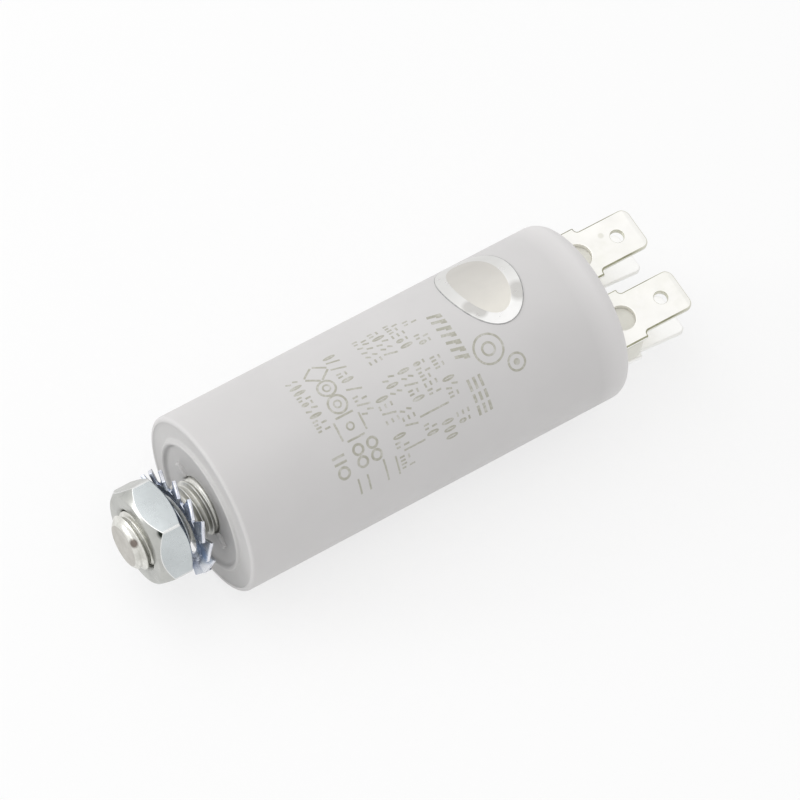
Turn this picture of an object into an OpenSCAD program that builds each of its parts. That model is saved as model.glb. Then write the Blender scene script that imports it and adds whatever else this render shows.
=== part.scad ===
// Motor capacitor in a round moulded case, with a fixing stud at one end
// and two double blade terminals at the other.
// Every piece is drawn standing on the seat plane, stud down and blades up,
// and is then laid along +X: stud towards -X, blades towards +X.
// The origin is on the axis, in the plane of the ring that seats on the panel.
// The row of terminals lies along Y, and the blades face up and down.

/* [Case] */
// Outside diameter of the case
case_d = 25; // [24:0.5:40]
// Length of the case from its rim to its closed end
case_len = 58.7; // [45:0.1:90]
// Wall thickness of the case
case_wall = 1.2; // [1:0.1:1.6]
// Thickness of the closed end
end_wall = 2; // [1.5:0.1:3]
// Radius of the rounded edge at the closed end
end_round = 2.2; // [1:0.1:2.6]
// Radius of the outer edge at the rim
rim_round = 0.5; // [0.2:0.05:0.6]

/* [Base plate] */
// Thickness of the base plate
plate_t = 3.2; // [2.8:0.1:5]
// Thickness of the case's lip around the base plate
lip_t = 0.7; // [0.65:0.05:0.9]
// Depth of the plate's face behind the rim
plate_recess = 0.15; // [0.05:0.05:0.5]
// Mean diameter of the raised ring that seats on the panel
ring_d = 17.9; // [16.4:0.1:20]
// Width of the raised ring
ring_w = 0.6; // [0.4:0.1:1.2]
// Height of the raised ring above the plate's face
ring_h = 0.55; // [0.5:0.05:1]
// Direction of the two ribs beside the stud, in degrees round the axis
rib_angle = 15; // [0:1:90]
// Width of a rib
rib_w = 1.2; // [0.5:0.1:1.5]
// Height of a rib above the plate's face
rib_h = 0.5; // [0.2:0.05:0.5]
// Length of a rib outward from the stud's hole
rib_len = 2.25; // [1:0.05:3.5]

/* [Stud] */
// Nominal diameter of the stud's thread
stud_d = 8; // [6:0.5:9]
// Length of the stud beyond the seat plane
stud_len = 11.3; // [10.8:0.1:20]
// Depth of the chamfer at the stud's end
stud_end_t = 1; // [0.4:0.05:1.5]
// Length of the chamfer at the stud's end
stud_end_l = 0.9; // [0.5:0.1:1.5]
// Thickness of the stud's head
head_t = 2.4; // [1.8:0.1:3]
// Depth of the pocket that keeps the head from turning
head_sunk = 1.2; // [0.6:0.1:1.6]

/* [Nut and lock washer] */
// Width across the flats of the nut and of the stud's head
hex_af = 13; // [12:0.5:15]
// Thickness of the nut
nut_t = 4.75; // [4:0.05:5.5]
// Distance from the seat plane to the nut
nut_gap = 4.8; // [4.4:0.1:8]
// Depth of the nut's chamfers at the middle of a flat
nut_flat_cut = 0.3; // [0.1:0.05:0.6]
// Height of the outer chamfer at the nut's corners
nut_chamfer_out = 1.5; // [0.5:0.1:1.7]
// Height of the inner chamfer at the nut's corners
nut_chamfer_in = 0.8; // [0.4:0.1:1.2]
// Depth of the countersinks in the nut's bore
nut_sink = 0.4; // [0.2:0.05:0.8]
// Direction of one of the nut's corners
nut_angle = 57.5; // [0:0.5:60]
// Width of the lock washer's ring
washer_ring_w = 1.2; // [1:0.1:1.8]
// Reach of the teeth beyond the nut's corners
tooth_over = 0; // [-0.5:0.1:1]
// Thickness of the lock washer's sheet
washer_t = 0.55; // [0.5:0.05:0.9]
// Number of teeth on the lock washer
tooth_count = 14; // [10:1:15]
// Width of a tooth at its root in the ring
tooth_root_w = 2; // [1.2:0.1:2]
// Width of a tooth at its tip
tooth_w = 2.9; // [2:0.1:3]
// Twist of a tooth about its own radius, in degrees
tooth_twist = 22; // [10:1:30]
// Direction of the first tooth from the washer's lean
tooth_angle = 12.2; // [0:0.1:25]
// Lean of the loose washer on the stud, in degrees
washer_lean = 4; // [0:1:6]
// Direction in which the washer leans towards the nut
washer_lean_angle = -8.5; // [-90:0.5:90]
// Direction in which the loose washer hangs off the axis
washer_hang_angle = 209; // [0:1:359]

/* [Terminals] */
// Width of a blade
blade_w = 6.3; // [4.8:0.1:6.5]
// Thickness of the blades' sheet
blade_t = 0.8; // [0.5:0.1:0.9]
// Distance between the two terminals
terminal_pitch = 10.45; // [9.2:0.05:10.6]
// Clear space between the two blades of one terminal
blade_gap = 4.4; // [3.6:0.1:5]
// Height of the blades above the closed end
blade_len = 12.05; // [10:0.05:14]
// Width of a blade's shoulder
shoulder_w = 7.9; // [7:0.1:8.4]
// Height of the shoulder above the closed end
shoulder_h = 4.2; // [4:0.1:5.5]
// Radius in the corner between shoulder and blade
shoulder_fillet = 0.5; // [0.2:0.1:0.7]
// Radius of the corners at a blade's tip
tip_round = 1.2; // [0.3:0.1:1.5]
// Length of the thinned edge at a blade's tip
tip_bevel_l = 0.7; // [0.3:0.1:1]
// Depth of the thinned edge on each face
tip_bevel_t = 0.15; // [0.05:0.05:0.2]
// Diameter of the detent hole in a blade
detent_d = 1.9; // [1.2:0.1:2.2]
// Distance from a blade's tip to the centre of its detent hole
detent_from_tip = 3.35; // [2.5:0.05:4]
// Diameter of the round window at a blade's foot
window_d = 3.7; // [2.5:0.1:3.8]
// Height of the window's middle above the closed end
window_h = 2.55; // [1.9:0.05:3]
// Inner radius of the bends inside the case
bend_r = 0.6; // [0.4:0.1:1]
// Outward lean of the rear blades above their bend, in degrees
rear_lean = 10; // [0:1:12]
// Height of the rear blades' bend above the closed end
rear_bend_h = 1.5; // [0.8:0.1:4]
// Height of the moulded pedestal between the blades
pedestal_h = 4.7; // [2.5:0.1:6]
// Radius of the pedestal's upper edges
pedestal_round = 2; // [0.3:0.1:2.4]

/* [Inside] */
// Diameter of the hole through the winding's core
core_hole_d = 4; // [2:0.5:5]
// Wall of the winding's core tube
core_wall = 0.8; // [0.5:0.1:1.2]
// Resin between the winding and the case wall
side_fill = 1.1; // [0.9:0.1:1.5]
// Resin between the base plate and the lower sprayed end
foot_fill = 3.4; // [3:0.1:6]
// Resin between the terminals' webs and the upper sprayed end
crown_fill = 3.2; // [2:0.1:6]
// Thickness of a sprayed metal end
spray_t = 0.5; // [0.3:0.1:1]
// Thickness of a lead strip
lead_t = 0.3; // [0.2:0.05:0.4]
// Width of a lead strip
lead_w = 3; // [2:0.1:4]
// Length of a lead's foot on a sprayed end
lead_foot = 4; // [3:0.1:5]

/* [Seal label] */
// Length of the oval label along the case
label_len = 10; // [6:0.1:14]
// Length of the oval label round the case
label_round = 15.3; // [6:0.1:20]
// Thickness of the label
label_t = 0.12; // [0.08:0.02:0.3]
// Distance from the closed end to the middle of the label
label_from_end = 14.3; // [11:0.05:30]
// Direction of the middle of the label
label_angle = 64.2; // [0:0.1:180]

/* [Fits] */
// Clearance of the base plate in the case's lip
plate_fit = 0.05; // [0.02:0.01:0.1]
// Clearance of the stud and its head in the base plate
stud_fit = 0.05; // [0.02:0.01:0.1]
// Clearance of the nut's bore on the stud
nut_fit = 0.1; // [0.05:0.01:0.15]
// Clearance of the lock washer's hole on the stud
washer_play = 0.5; // [0.15:0.05:0.6]
// Clearance left where the hanging washer comes nearest to the stud
washer_rest = 0.03; // [0.02:0.01:0.1]
// Clearance between the lock washer's teeth and the nut
washer_fit = 0.05; // [0.02:0.01:0.2]
// Clearance of the blades in their slots and on the pedestals
blade_fit = 0.05; // [0.02:0.01:0.1]

/* [Hidden] */
$fn = 96;
eps = 0.01;
case_r = case_d / 2;
// Heights above the seat plane
plate_z = ring_h;
rim_z = plate_z - plate_recess;
end_z = rim_z + case_len;
cavity_top = end_z - end_wall;
cavity_foot = plate_z + plate_t;
cavity_r = case_r - case_wall;
lip_r = case_r - lip_t;
// Stud and nut
stud_r = stud_d / 2;
stud_hole_r = stud_r + stud_fit;
head_z = cavity_foot - head_sunk;
hex_r = hex_af / 2 / cos(30);
nut_face_r = hex_af / 2 - nut_flat_cut;
nut_bore_r = stud_r + nut_fit;
// Lock washer: half the height of a twisted tooth, how far the ring hangs, and its middle
washer_hole_r = stud_r + washer_play;
washer_ring_r = washer_hole_r + washer_ring_w;
washer_r = hex_r + tooth_over;
tooth_reach = tooth_w / 2 * sin(tooth_twist) + washer_t / 2 * cos(tooth_twist);
washer_hang = washer_hole_r * cos(washer_lean) - washer_t / 2 * sin(washer_lean) - stud_r - washer_rest;
washer_z = tooth_reach + (nut_face_r + washer_hang) * sin(washer_lean) + washer_fit - nut_gap;
// Terminals
blade_in = blade_gap / 2;
web_z = cavity_top - bend_r - blade_t;
shoulder_z = end_z + shoulder_h;
rear_bend_z = end_z + rear_bend_h;
tip_z = end_z + blade_len;
pedestal_t = blade_gap - 2 * blade_fit;
// Winding
winding_r = cavity_r - side_fill;
core_r = core_hole_d / 2 + core_wall;
lower_spray_z = cavity_foot + foot_fill;
winding_z = lower_spray_z + spray_t;
upper_spray_z = web_z - crown_fill - spray_t;
winding_len = upper_spray_z - winding_z;
spray_top = upper_spray_z + spray_t;
// Lead strips: the long one runs beside the winding
lead_web = terminal_pitch / 2 - lead_foot / 2;
riser_r = winding_r + (side_fill - lead_t) / 2;

// Lays the standing object along +X: its x, y and z become Y, Z and X
module lay() {
    rotate([0, 90, 0]) rotate([0, 0, 90]) children();
}

// Places a standing piece on the axis at a height
module at_height(z) {
    translate([0, 0, z]) children();
}

// Tube on the axis, standing on its end
module tube(outer_r, inner_r, h) {
    difference() {
        cylinder(r = outer_r, h = h);
        at_height(-eps) cylinder(r = inner_r, h = h + 2 * eps);
    }
}

// Hexagon bar on the axis, with a flat towards the row of terminals
module hexagon(across_flats, h) {
    cylinder(r = across_flats / 2 / cos(30), h = h, $fn = 6);
}

// Extrudes an outline drawn in the plane of the row of terminals, across it
module across_row(depth) {
    rotate([90, 0, 0]) linear_extrude(depth, center = true) children();
}

// Extrudes a section drawn across the row of terminals, along it
module along_row(width) {
    rotate([90, 0, 90]) linear_extrude(width, center = true) children();
}

// Puts a piece at each terminal's place
module at_terminals() {
    for (side = [-1, 1]) translate([side * terminal_pitch / 2, 0, 0]) children();
}

// Half section of the case's outside, with a rounded edge at each end
module case_outline() {
    side_foot = rim_z + rim_round;
    side_top = end_z - end_round;
    translate([0, rim_z]) square([case_r - rim_round, rim_round + eps]);
    translate([case_r - rim_round, side_foot]) circle(rim_round);
    translate([0, side_foot]) square([case_r, side_top - side_foot]);
    translate([case_r - end_round, side_top]) circle(end_round);
    translate([0, side_top - eps]) square([case_r - end_round, end_round + eps]);
}

// Block between the two blades of a terminal, with rounded upper edges
module pedestal() {
    half = shoulder_w / 2 - pedestal_round;
    top = end_z + pedestal_h;
    across_row(pedestal_t) {
        translate([-shoulder_w / 2, end_z - eps])
            square([shoulder_w, pedestal_h - pedestal_round + eps]);
        translate([-half, end_z]) square([2 * half, pedestal_h]);
        for (side = [-1, 1]) translate([side * half, top - pedestal_round]) circle(pedestal_round);
    }
}

// Slots for the two blades of a terminal
module blade_slots() {
    slot_w = shoulder_w + 2 * blade_fit;
    slot_t = blade_t + 2 * blade_fit;
    for (side = [-1, 1])
        translate([0, side * (blade_in + blade_t / 2), cavity_top + end_wall / 2])
            cube([slot_w, slot_t, end_wall + 2 * eps], center = true);
}

module case() {
    color([0.82, 0.82, 0.81]) lay() difference() {
        union() {
            rotate_extrude() case_outline();
            at_terminals() pedestal();
        }
        at_height(cavity_foot) cylinder(r = cavity_r, h = cavity_top - cavity_foot);
        at_height(rim_z - eps) cylinder(r = lip_r, h = cavity_foot - rim_z + eps);
        at_terminals() blade_slots();
    }
}

module base_plate() {
    rib_reach = stud_hole_r + rib_len;
    color([0.80, 0.80, 0.79]) lay() difference() {
        union() {
            at_height(plate_z) cylinder(r = lip_r - plate_fit, h = plate_t);
            tube((ring_d + ring_w) / 2, (ring_d - ring_w) / 2, plate_z + eps);
            rotate([0, 0, rib_angle]) translate([-rib_reach, -rib_w / 2, plate_z - rib_h])
                cube([2 * rib_reach, rib_w, rib_h + eps]);
        }
        at_height(-eps) cylinder(r = stud_hole_r, h = cavity_foot + 2 * eps);
        at_height(head_z) hexagon(hex_af + 2 * stud_fit, head_t);
    }
}

// Half section of the threaded shank, with the chamfer at its end
module shank_outline() {
    polygon([
        [0, -stud_len],
        [stud_r - stud_end_t, -stud_len],
        [stud_r, stud_end_l - stud_len],
        [stud_r, head_z + eps],
        [0, head_z + eps]
    ]);
}

module stud() {
    color([0.78, 0.79, 0.78]) lay() {
        rotate_extrude() shank_outline();
        at_height(head_z) hexagon(hex_af, head_t);
    }
}

// Half section that chamfers the nut's corners and countersinks its bore
module nut_outline() {
    polygon([
        [nut_bore_r + nut_sink, -nut_t],
        [nut_face_r, -nut_t],
        [hex_r, nut_chamfer_out - nut_t],
        [hex_r, -nut_chamfer_in],
        [nut_face_r, 0],
        [nut_bore_r + nut_sink, 0],
        [nut_bore_r, -nut_sink],
        [nut_bore_r, nut_sink - nut_t]
    ]);
}

module hex_nut() {
    color([0.80, 0.83, 0.85]) lay() at_height(-nut_gap) intersection() {
        rotate_extrude() nut_outline();
        at_height(-nut_t) rotate([0, 0, nut_angle]) hexagon(hex_af, nut_t);
    }
}

// One tooth of the lock washer, wider at its tip and twisted about its own radius
module tooth() {
    root_r = (washer_hole_r + washer_ring_r) / 2;
    intersection() {
        rotate([-tooth_twist, 0, 0]) at_height(-washer_t / 2) linear_extrude(washer_t) polygon([
            [root_r, -tooth_root_w / 2],
            [washer_r, -tooth_w / 2],
            [washer_r, tooth_w / 2],
            [root_r, tooth_root_w / 2]
        ]);
        cylinder(r = washer_r, h = 4 * tooth_reach, center = true);
    }
}

module lock_washer() {
    hang_x = washer_hang * cos(washer_hang_angle);
    hang_y = washer_hang * sin(washer_hang_angle);
    color([0.62, 0.67, 0.74]) lay() translate([hang_x, hang_y, washer_z])
        rotate([0, 0, washer_lean_angle]) rotate([0, washer_lean, 0])
            difference() {
                union() {
                    cylinder(r = washer_ring_r, h = washer_t, center = true);
                    for (i = [0:tooth_count - 1])
                        rotate([0, 0, tooth_angle + i * 360 / tooth_count]) tooth();
                }
                cylinder(r = washer_hole_r, h = 4 * tooth_reach, center = true);
            }
}

// Section of one blade above its bend, thinned at the tip
module blade_section(len) {
    polygon([
        [0, 0],
        [blade_t, 0],
        [blade_t, len - tip_bevel_l],
        [blade_t - tip_bevel_t, len],
        [tip_bevel_t, len],
        [0, len - tip_bevel_l]
    ]);
}

// Section of one leg of a terminal: the fold, the foot in its slot and the blade that leans from a height
module leg_section(lean, lean_z) {
    translate([blade_in - bend_r, cavity_top]) intersection() {
        difference() {
            circle(bend_r + blade_t);
            circle(bend_r);
        }
        translate([0, -bend_r - blade_t]) square(bend_r + blade_t);
    }
    translate([blade_in, cavity_top]) square([blade_t, lean_z - cavity_top]);
    translate([blade_in + blade_t / 2, lean_z]) {
        circle(d = blade_t);
        rotate(-lean) translate([-blade_t / 2, 0]) blade_section(tip_z - lean_z);
    }
}

// Section of a folded terminal: two legs joined by a web inside the case
module terminal_section() {
    web = blade_in - bend_r;
    leg_section(0, shoulder_z);
    mirror([1, 0]) leg_section(rear_lean, rear_bend_z);
    translate([-web, web_z]) square([2 * web, blade_t]);
}

// Outline of a blade seen face on, with its shoulder, detent hole and window
module blade_outline() {
    half = blade_w / 2;
    fillet = min(shoulder_fillet, (shoulder_w - blade_w) / 2);
    difference() {
        union() {
            translate([-shoulder_w / 2, web_z - eps]) square([shoulder_w, shoulder_z - web_z + eps]);
            translate([-half, shoulder_z - eps]) square([blade_w, tip_z - tip_round - shoulder_z + eps]);
            translate([tip_round - half, shoulder_z]) square([blade_w - 2 * tip_round, tip_z - shoulder_z]);
            for (side = [-1, 1])
                translate([side * (half - tip_round), tip_z - tip_round]) circle(tip_round);
            translate([-half - fillet, shoulder_z - eps]) square([2 * (half + fillet), fillet + eps]);
        }
        for (side = [-1, 1])
            translate([side * (half + fillet), shoulder_z + fillet]) circle(fillet);
        translate([0, tip_z - detent_from_tip]) circle(d = detent_d);
        translate([0, end_z + window_h]) circle(d = window_d);
    }
}

// One folded terminal, at its place in the row
module terminal(side) {
    depth = 2 * (blade_gap + blade_len);
    color([0.88, 0.87, 0.83]) lay() translate([side * terminal_pitch / 2, 0, 0])
        intersection() {
            along_row(shoulder_w) terminal_section();
            across_row(depth) blade_outline();
        }
}

module terminal_a() {
    terminal(1);
}

module terminal_b() {
    terminal(-1);
}

module film_winding() {
    color([0.72, 0.74, 0.76]) lay() at_height(winding_z) tube(winding_r, core_r, winding_len);
}

module winding_core() {
    color([0.90, 0.88, 0.78]) lay() at_height(winding_z) tube(core_r, core_hole_d / 2, winding_len);
}

// Ring of sprayed metal on one end of the winding
module sprayed_end(z) {
    color([0.60, 0.61, 0.60]) lay() at_height(z) tube(winding_r, core_hole_d / 2, spray_t);
}

module sprayed_end_lower() {
    sprayed_end(lower_spray_z);
}

module sprayed_end_upper() {
    sprayed_end(upper_spray_z);
}

// Short lead: from the upper sprayed end straight up to the first terminal's web
module lead_short() {
    color([0.80, 0.62, 0.42]) lay() across_row(lead_w) {
        translate([lead_web, spray_top]) square([lead_foot, lead_t]);
        translate([lead_web, spray_top]) square([lead_t, web_z - spray_top]);
    }
}

// Long lead: from the lower sprayed end, up beside the winding, to the second terminal's web
module lead_long() {
    foot_in = winding_r - lead_foot;
    riser_out = riser_r + lead_t;
    color([0.80, 0.62, 0.42]) lay() mirror([1, 0, 0]) across_row(lead_w) {
        translate([foot_in, lower_spray_z - lead_t]) square([riser_out - foot_in, lead_t]);
        translate([riser_r, lower_spray_z - lead_t]) square([lead_t, web_z - lower_spray_z + lead_t]);
        translate([lead_web, web_z - lead_t]) square([riser_out - lead_web, lead_t]);
    }
}

// Space that the winding takes up in the resin, with its core and both sprayed ends
module winding_space() {
    at_height(lower_spray_z) tube(winding_r, core_hole_d / 2, spray_top - lower_spray_z);
}

module potting_resin() {
    color([0.35, 0.33, 0.30]) difference() {
        lay() at_height(cavity_foot) cylinder(r = cavity_r, h = cavity_top - cavity_foot);
        lay() winding_space();
        lead_short();
        lead_long();
        stud();
        terminal_a();
        terminal_b();
    }
}

module seal_label() {
    half_chord = case_r * sin(label_round / case_d * 180 / PI);
    color([0.90, 0.88, 0.82]) lay() intersection() {
        at_height(rim_z) tube(case_r + label_t, case_r, case_len);
        at_height(end_z - label_from_end) rotate([0, 90, label_angle])
            scale([label_len / 2, half_chord, 1]) cylinder(r = 1, h = case_d);
    }
}

case();
base_plate();
stud();
lock_washer();
hex_nut();
terminal_a();
terminal_b();
film_winding();
winding_core();
sprayed_end_lower();
sprayed_end_upper();
lead_short();
lead_long();
potting_resin();
seal_label();
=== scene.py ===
"""Looks of a motor capacitor lying on its side: satin grey case, zinc plated stud, nut and
toothed lock washer, tinned brass blades, a pearl seal label and faded ink on the case.

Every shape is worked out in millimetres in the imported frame: x along the axis (stud towards -X,
blades towards +X), angles round the axis from +Y towards +Z. Meshes are stored in metres.
"""
import math

import bmesh
import bpy
import numpy as np
from mathutils import Matrix


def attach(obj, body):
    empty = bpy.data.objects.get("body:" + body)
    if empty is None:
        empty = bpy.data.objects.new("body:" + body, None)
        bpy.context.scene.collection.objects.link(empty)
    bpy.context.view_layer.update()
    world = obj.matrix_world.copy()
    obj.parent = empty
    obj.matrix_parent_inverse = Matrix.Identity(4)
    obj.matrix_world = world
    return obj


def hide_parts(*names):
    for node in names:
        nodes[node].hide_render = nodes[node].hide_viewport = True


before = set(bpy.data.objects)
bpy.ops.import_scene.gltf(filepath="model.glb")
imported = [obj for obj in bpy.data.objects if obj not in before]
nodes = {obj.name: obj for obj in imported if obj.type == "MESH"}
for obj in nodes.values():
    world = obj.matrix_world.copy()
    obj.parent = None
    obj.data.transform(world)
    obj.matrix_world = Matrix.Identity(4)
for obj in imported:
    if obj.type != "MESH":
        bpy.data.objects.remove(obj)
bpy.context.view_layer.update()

MM = 0.001
TURN = 2 * np.pi
scene = bpy.context.scene
scene.view_settings.view_transform = "Standard"

# Sizes in millimetres and directions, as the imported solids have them
CASE_R = 12.5
RIM_X = 0.4
RIM_ROUND = 0.5
END_X = 59.1
END_ROUND = 2.2
LIP_R = 11.8
CAVITY_R = 11.3
CAVITY_FOOT = 3.75
CAVITY_TOP = 57.1
PEDESTAL_TOP = 63.8
PLATE_X = 0.55
PLATE_R = 11.84
STUD_HOLE_R = 4.05
RIB_AT = math.radians(15)
STUD_R = 4.0
STUD_TIP = -11.3
STUD_END_R = 3.0
STUD_END_L = 0.9
HEAD_FOOT = 2.55
HEAD_TOP = 4.95
HEX_AF = 13.0
HEX_R = HEX_AF / 2 / math.cos(math.radians(30))
NUT_OUT = -9.55
NUT_IN = -4.8
NUT_BORE_R = 4.1
NUT_SINK = 0.4
NUT_FACE_R = 6.2
NUT_CHAMFER_OUT = 1.5
NUT_CHAMFER_IN = 0.8
NUT_ANGLE = math.radians(57.5)
WASHER_X = -3.4888
WASHER_LEAN = math.radians(4)
WASHER_LEAN_AT = math.radians(-8.5)
WASHER_HANG = 0.4399
WASHER_HANG_AT = math.radians(209)
WASHER_HOLE_R = 4.5
WASHER_RING_R = 5.7
WASHER_HALF_T = 0.275
TOOTH_AT = math.radians(12.2)
TOOTH_TWIST = math.radians(22)
TERMINAL_Y = 5.225
WINDOW_X = 61.65
WINDOW_REACH = 2.1
DETENT_X = 67.78
DETENT_REACH = 1.2
LABEL_X = 44.8
LABEL_AT = math.radians(64.2)
LABEL_HALF_X = 5.0
LABEL_HALF_S = 7.65

# Sizes that only this scene has: thread, rounds, label's rim and ink, in millimetres, and the angle in
# degrees from which an edge is sharp
PITCH = 1.25
THREAD_DEPTH = 0.58
THREAD_SHIFT = 0.57
BLADE_ROUND = 0.18
HOLE_ROUND = 0.05
LABEL_RIM = 1.85
LABEL_FILM_MARGIN = 1.66
LABEL_CUT_MARGIN = 0.10
SUNK = -0.02
INK_LIFT = 0.012
FINE = 0.26
MM_PER_DEGREE = 0.218
SHARP = 32.0

# The room: the floor's middle in millimetres, its share of plain white, and the strength of the sky
FLOOR_MIDDLE = 30
FLOOR_LIFT = 0.68
SKY = 0.665
WHITE = (1, 1, 1, 1)


# Surfaces


def round_axis(x, r, angle):
    """Points x along the axis, r away from it, turned by angle from +Y towards +Z."""
    x, r, angle = np.broadcast_arrays(x, r, angle)
    return np.stack([x, r * np.cos(angle), r * np.sin(angle)], -1)


def grid_faces(rows, cols, ring_rows=False, ring_cols=True):
    """Four-sided faces between neighbours on a grid of points, closed on itself where it is a ring."""
    i = np.arange(rows if ring_rows else rows - 1)[:, None]
    j = np.arange(cols if ring_cols else cols - 1)[None, :]
    i_next, j_next = (i + 1) % rows, (j + 1) % cols
    i, j, i_next, j_next = np.broadcast_arrays(i, j, i_next, j_next)
    corners = [i * cols + j, i_next * cols + j, i_next * cols + j_next, i * cols + j_next]
    return np.stack(corners, -1).reshape(-1, 4)


def surface(points, ring_rows=False, ring_cols=True):
    """A grid of points with the faces between them."""
    rows, cols = points.shape[:2]
    return points.reshape(-1, 3), grid_faces(rows, cols, ring_rows, ring_cols)


def copies(points, ring_rows=False, ring_cols=True):
    """Several grids of one size, stacked along the first axis, as one surface of separate shells."""
    count, rows, cols = points.shape[:3]
    faces = grid_faces(rows, cols, ring_rows, ring_cols)
    steps = np.arange(count)[:, None, None] * (rows * cols)
    return points.reshape(-1, 3), (faces[None] + steps).reshape(-1, 4)


def softened(corners, cuts, steps=4):
    """A profile with its corners rounded: each becomes a curve bent between the two points that lie
    its cut before and after it, on its own two sides. Corners may hold one point for each angle."""
    t = np.linspace(0, 1, steps + 1).reshape((-1,) + (1,) * (corners.ndim - 1))
    rows = [corners[:1]]
    for k in range(1, len(corners) - 1):
        here = corners[k]
        to_last, to_next = corners[k - 1] - here, corners[k + 1] - here
        last_len = np.linalg.norm(to_last, axis=-1, keepdims=True)
        next_len = np.linalg.norm(to_next, axis=-1, keepdims=True)
        a = here + to_last * np.minimum(cuts[k] / last_len, 0.45)
        b = here + to_next * np.minimum(cuts[k] / next_len, 0.45)
        rows.append((1 - t) ** 2 * a + 2 * t * (1 - t) * here + t * t * b)
    rows.append(corners[-1:])
    return np.concatenate(rows)


def arc(x, r, radius, start, end, steps):
    """Profile points on a quarter or other part of a circle about (x, r), from start to end degrees."""
    a = np.radians(np.linspace(start, end, steps))
    return np.stack([x + radius * np.cos(a), r + radius * np.sin(a)], -1)


def turned(profile, cols):
    """A profile of (x, r) points carried round the axis."""
    angle = np.arange(cols) * TURN / cols
    return round_axis(profile[:, None, 0], profile[:, None, 1], angle[None, :])


def swept(spots, angle, steps=4):
    """A profile of (x, radius, cut) spots with its corners rounded, carried round the axis. The spots' x
    and radius may change with the angle."""
    corners = np.stack([np.stack(np.broadcast_arrays(x, r, angle)[:2], -1) for x, r, cut in spots])
    profile = softened(corners, [cut for x, r, cut in spots], steps)
    return round_axis(profile[..., 0], profile[..., 1], angle[None, :])


def eased(t):
    """A share from 0 to 1 that starts and ends softly."""
    return t * t * (3 - 2 * t)


def hexagon(angle, corner_at, soft=0.0):
    """Radius of a hexagon bar at each angle: half its width over the cosine from the nearest flat,
    and near a corner the far side of a small circle that touches both flats."""
    off = (angle - corner_at + TURN / 12) % (TURN / 6) - TURN / 12
    flat = HEX_AF / 2 / np.cos(TURN / 12 - np.abs(off))
    if soft == 0.0:
        return flat
    middle = (HEX_AF / 2 - soft) / math.cos(TURN / 12)
    reach = math.atan2(soft / 2, middle + soft * math.cos(TURN / 12))
    close = np.clip(off, -reach, reach)
    rounded = middle * np.cos(close) + np.sqrt(soft ** 2 - (middle * np.sin(close)) ** 2)
    return np.where(np.abs(off) < reach, rounded, flat)


def rounded_bar(middle, half, edge, along, across, upward, cols=24, rows=12):
    """A bar with rounded edges: points of a ball of the edge's radius, each moved by the bar's half
    size less that radius towards the corner it faces, so that the gaps between become flat sides."""
    north = np.linspace(89.9, 0.1, rows)
    lat = np.radians(np.concatenate([[90], north, -north[::-1], [-90]]))
    lon = (np.arange(cols) + 0.5) * TURN / cols
    ball = np.stack([
        np.cos(lat)[:, None] * np.cos(lon),
        np.cos(lat)[:, None] * np.sin(lon),
        np.broadcast_to(np.sin(lat)[:, None], (len(lat), cols)),
    ], -1)
    side = np.sign(np.round(ball, 9))
    side[[0, -1], :, :2] = 0
    local = ball * edge + side * (np.asarray(half) - edge)
    axes = np.stack([along, across, upward])
    return surface(np.asarray(middle) + local @ axes)


# Case and base plate


def case_shell():
    """The cup: its wall's whole profile, outer side, rounded end, rim, lip and cavity, turned round the
    axis."""
    outer = np.concatenate([
        [[END_X, 0.0], [END_X, 3.5], [END_X, 7.0]],
        arc(END_X - END_ROUND, CASE_R - END_ROUND, END_ROUND, 0, 90, 13),
        np.stack([np.linspace(END_X - 5, RIM_X + 3, 14), np.full(14, CASE_R)], -1),
        arc(RIM_X + RIM_ROUND, CASE_R - RIM_ROUND, RIM_ROUND, 90, 180, 8),
    ])
    inner = np.array([
        [RIM_X, LIP_R], [CAVITY_FOOT, LIP_R], [CAVITY_FOOT, CAVITY_R],
        [CAVITY_TOP, CAVITY_R], [CAVITY_TOP, 0.0],
    ])
    inner = softened(np.concatenate([outer[-1:], inner]), [0, 0.06, 0.1, 0.1, 0.4, 0])[1:]
    return surface(turned(np.concatenate([outer, inner]), 192))


def pedestal(side):
    """The moulded block between two blades: an outline with rounded upper corners carried across the row,
    drawn in near both faces by a quarter circle, and closed by a point in each face's middle."""
    edge, corner, half_w, half_t = 0.2, 2.0, 3.95, 2.15
    foot, top = END_X - 0.3, PEDESTAL_TOP
    a = np.radians(np.linspace(0, 90, 9))
    out, drawn = half_t - edge + edge * np.sin(a), edge * (1 - np.cos(a))
    z = np.concatenate([[-half_t], -out[::-1], out, [half_t]])
    inset = np.concatenate([[edge], drawn[::-1], drawn, [edge]])
    b = np.radians(np.linspace(0, 90, 15))
    rx = corner - inset[:, None]
    right_y = half_w - corner + rx * np.cos(b)
    right_x = top - corner + rx * np.sin(b)
    foot_y = (half_w - inset)[:, None]
    foot_x = np.full_like(foot_y, foot)
    y = np.concatenate([foot_y, right_y, -right_y[:, ::-1], -foot_y], 1)
    x = np.concatenate([foot_x, right_x, right_x[:, ::-1], foot_x], 1)
    y[[0, -1]] = 0
    x[[0, -1]] = (foot + top) / 2
    return surface(np.stack([x, y + side * TERMINAL_Y, np.broadcast_to(z[:, None], x.shape)], -1))


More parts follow.
